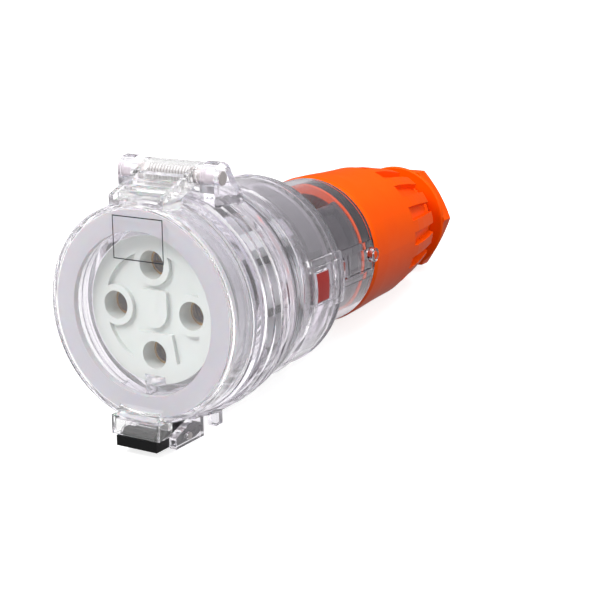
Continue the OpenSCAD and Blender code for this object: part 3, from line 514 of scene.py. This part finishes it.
bm = bmesh.new()
ridge(bm, NECK_R, THREAD_START, THREAD_END, THREAD_PITCH, THREAD_RISE)
thread = mesh_piece("neck_thread", bm, orange_nylon, "cap_unit")
print("thread faces:", len(thread.data.polygons))

# %% [markdown]
# The latch's spring is a short pressure coil. The CAD coil keeps its length, and a real one
# shortens as the latch is pressed. It is wound again here, as a curve that a round wire
# follows.

# %% Latch spring wound as a curve
SPRING_Y, SPRING_TOP, SPRING_LOW = 20.3, -47.7, -50.15
SPRING_R, WIRE_R, SPRING_TURNS = 2.0, 0.3, 2
COIL_STEPS, WIRE_ROUNDING = 28, 3
path = bpy.data.curves.new("latch_coil_path", "CURVE")
path.dimensions = "3D"
path.bevel_depth, path.bevel_resolution = WIRE_R * MM, WIRE_ROUNDING
path.use_fill_caps = True
wire = path.splines.new("POLY")
count = SPRING_TURNS * COIL_STEPS
wire.points.add(count)
for i, point in enumerate(wire.points):
    turn = 2 * math.pi * i / COIL_STEPS
    z = SPRING_LOW + WIRE_R + (SPRING_TOP - SPRING_LOW - 2 * WIRE_R) * i / count
    spot = place(SPRING_R * math.cos(turn), SPRING_Y + SPRING_R * math.sin(turn), z)
    point.co = (*spot, 1.0)
drawn = bpy.data.objects.new("latch_coil_drawn", path)
bpy.context.scene.collection.objects.link(drawn)
bpy.context.view_layer.update()
print("points along the wire:", len(wire.points))

# %% [markdown]
# The curve is turned into the mesh that Blender shows for it. The coil stands between the
# bracket and the latch. It rides on the housing and takes the place of the CAD coil.

# %% Latch spring as a mesh
shown = drawn.evaluated_get(bpy.context.evaluated_depsgraph_get())
coil_mesh = bpy.data.meshes.new_from_object(shown)
bpy.data.objects.remove(drawn)
coil = bpy.data.objects.new("latch_coil", coil_mesh)
bpy.context.scene.collection.objects.link(coil)
coat(coil, spring_steel)
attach(coil, "housing")
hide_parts("latch_spring")
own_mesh(coil)
print("latch coil faces:", len(coil.data.polygons))

# %% [markdown]
# A plain pale table in a white studio. Its paper is matt and glows a little, so that it
# stays an even white out to the edges of the picture. The table isn't seen by the rays that
# light the solids or show in their gloss, because the sky below already stands for it there.

# %% Table
TABLE_SIZE = 6.0
TABLE_GLOW = 0.8
bm = bmesh.new()
bmesh.ops.create_grid(bm, x_segments=1, y_segments=1, size=TABLE_SIZE / 2)
mesh = bpy.data.meshes.new("table")
bm.to_mesh(mesh)
bm.free()
table = bpy.data.objects.new("table", mesh)
bpy.context.scene.collection.objects.link(table)
paper, tree = new_material("white_paper")
matt = add(tree, "ShaderNodeBsdfPrincipled", {"Base Color": linear("#B8B8B8"),
    "Roughness": 0.9, "Specular IOR Level": 0.0, "Emission Color": linear("#FFFFFF"),
    "Emission Strength": TABLE_GLOW})
add(tree, "ShaderNodeOutputMaterial", {"Surface": matt.outputs[0]})
coat(table, paper)
table.visible_diffuse = False
table.visible_glossy = False
print("table laid, metres across:", TABLE_SIZE)

# %% [markdown]
# Three large square lamps light the coupler: the key from the front left, one from above
# and a weak one from the right. They don't show in mirrors or through the plastic, so no
# hard square patches appear on the clear pieces.

# %% Lamps


def soft_light(name, at, aim, size, power):
    """A square lamp at a place in metres, aimed at a point. Its power is in watts."""
    data = bpy.data.lights.new(name, "AREA")
    data.size, data.energy = size, power
    obj = bpy.data.objects.new(name, data)
    obj.location = at
    obj.rotation_euler = (Vector(aim) - Vector(at)).to_track_quat("-Z", "Y").to_euler()
    obj.visible_glossy = False
    obj.visible_transmission = False
    bpy.context.scene.collection.objects.link(obj)
    return obj


lamps = [
    soft_light("key", (-0.35, -0.75, 1.05), (0, -0.1, 0.05), 0.45, 13),
    soft_light("top", (0.35, 0.2, 1.1), (0, 0.05, 0.05), 0.6, 7),
    soft_light("fill", (1.1, 0.0, 0.6), (0, 0.05, 0.05), 0.8, 5),
]
print("lamps hung:", [lamp.name for lamp in lamps])

# %% [markdown]
# Clear plastic shows what stands round it. In a real studio, white walls and dark gaps do
# that work. Here the sky does it, and as the world can tell kinds of ray apart, it gives
# each kind its own brightness:
#
# - light on the solids: an even sky, weaker from below;
# - seen through the clear walls: white behind the coupler and a little darker on the
#   photographer's side, with one soft white panel overhead;
# - mirrored: the same, but dim, or every curved face would turn milky;
# - seen by the camera: plain white.

# %% Sky seen through the clear walls and mirrored
SKY_BEHIND, SKY_IN_FRONT, SKY_OVER = 1.0, 0.85, 0.95
MIRRORED_ABOVE, MIRRORED_BELOW = 0.08, 0.38
PANEL_TOWARDS = Vector((-0.35, -0.25, 0.9)).normalized()
PANEL_EDGE, PANEL_FULL, PANEL_GAIN = 0.84, 0.93, 2.2
world = bpy.data.worlds.new("studio")
world.use_nodes = True
bpy.context.scene.world = world
tree = world.node_tree
tree.nodes.clear()
way = add(tree, "ShaderNodeTexCoord").outputs["Generated"]
axes = add(tree, "ShaderNodeSeparateXYZ", {0: way})
depth = add(tree, "ShaderNodeMapRange", {"Value": axes.outputs["Y"], "From Min": -0.8,
    "From Max": -0.1, "To Min": SKY_IN_FRONT, "To Max": SKY_BEHIND})
facing = add(tree, "ShaderNodeVectorMath", {0: way, 1: PANEL_TOWARDS}, operation="DOT_PRODUCT")
panel = add(tree, "ShaderNodeMapRange", {"Value": facing.outputs["Value"],
    "From Min": PANEL_EDGE, "From Max": PANEL_FULL, "To Min": 0.0, "To Max": PANEL_GAIN},
    interpolation_type="SMOOTHSTEP")
share = add(tree, "ShaderNodeMapRange", {"Value": axes.outputs["Z"], "From Min": -0.35,
    "From Max": 0.0, "To Min": MIRRORED_BELOW, "To Max": MIRRORED_ABOVE})
dimmed = add(tree, "ShaderNodeMath", {0: depth.outputs[0], 1: share.outputs[0]},
    operation="MULTIPLY")
mirrored = add(tree, "ShaderNodeMath", {0: dimmed.outputs[0], 1: panel.outputs[0]},
    operation="ADD")
over = add(tree, "ShaderNodeMapRange", {"Value": axes.outputs["Z"], "From Min": 0.0,
    "From Max": 0.2, "To Min": 1.0, "To Max": SKY_OVER})
open_sky = add(tree, "ShaderNodeMath", {0: depth.outputs[0], 1: over.outputs[0]},
    operation="MULTIPLY")
bent = add(tree, "ShaderNodeMath", {0: open_sky.outputs[0], 1: panel.outputs[0]},
    operation="ADD")
print("sky nodes so far:", len(tree.nodes))

# %% [markdown]
# A ray that has passed through any clear wall has a Transmission Depth of one or more. It
# gets the bright sky, and one that was only mirrored gets the dim one.

# %% Sky for each kind of ray
SKY_ABOVE, SKY_BELOW = 0.45, 0.12
height = add(tree, "ShaderNodeMapRange", {"Value": axes.outputs["Z"], "From Min": -0.5,
    "From Max": 0.6, "To Min": SKY_BELOW, "To Max": SKY_ABOVE})
ray = add(tree, "ShaderNodeLightPath")
through = add(tree, "ShaderNodeMath", {0: ray.outputs["Transmission Depth"], 1: 1.0},
    operation="MINIMUM")
glassy = add(tree, "ShaderNodeMix", {"Factor": through.outputs[0], "A": mirrored.outputs[0],
    "B": bent.outputs[0]}, data_type="FLOAT")
level = add(tree, "ShaderNodeMix", {"Factor": ray.outputs["Is Diffuse Ray"],
    "A": glassy.outputs[0], "B": height.outputs[0]}, data_type="FLOAT")
seen = add(tree, "ShaderNodeMix", {"Factor": ray.outputs["Is Camera Ray"],
    "A": level.outputs[0], "B": 1.0}, data_type="FLOAT")
sky = add(tree, "ShaderNodeBackground", {"Color": linear("#FFFFFF"),
    "Strength": seen.outputs[0]})
add(tree, "ShaderNodeOutputWorld", {"Surface": sky.outputs[0]})
print("sky nodes in all:", len(tree.nodes))

# %% [markdown]
# The Standard view shows colours as they were picked. Clear walls lie several deep here, and
# a ray needs many steps to get through them all, or it would end in black.

# %% View and light paths
MIRROR_STEPS, CLEAR_STEPS = 16, 32
scene = bpy.context.scene
scene.view_settings.view_transform = "Standard"
scene.cycles.max_bounces = CLEAR_STEPS
scene.cycles.glossy_bounces = MIRROR_STEPS
scene.cycles.transmission_bounces = CLEAR_STEPS
scene.cycles.transparent_max_bounces = CLEAR_STEPS
print("steps through clear walls:", CLEAR_STEPS)
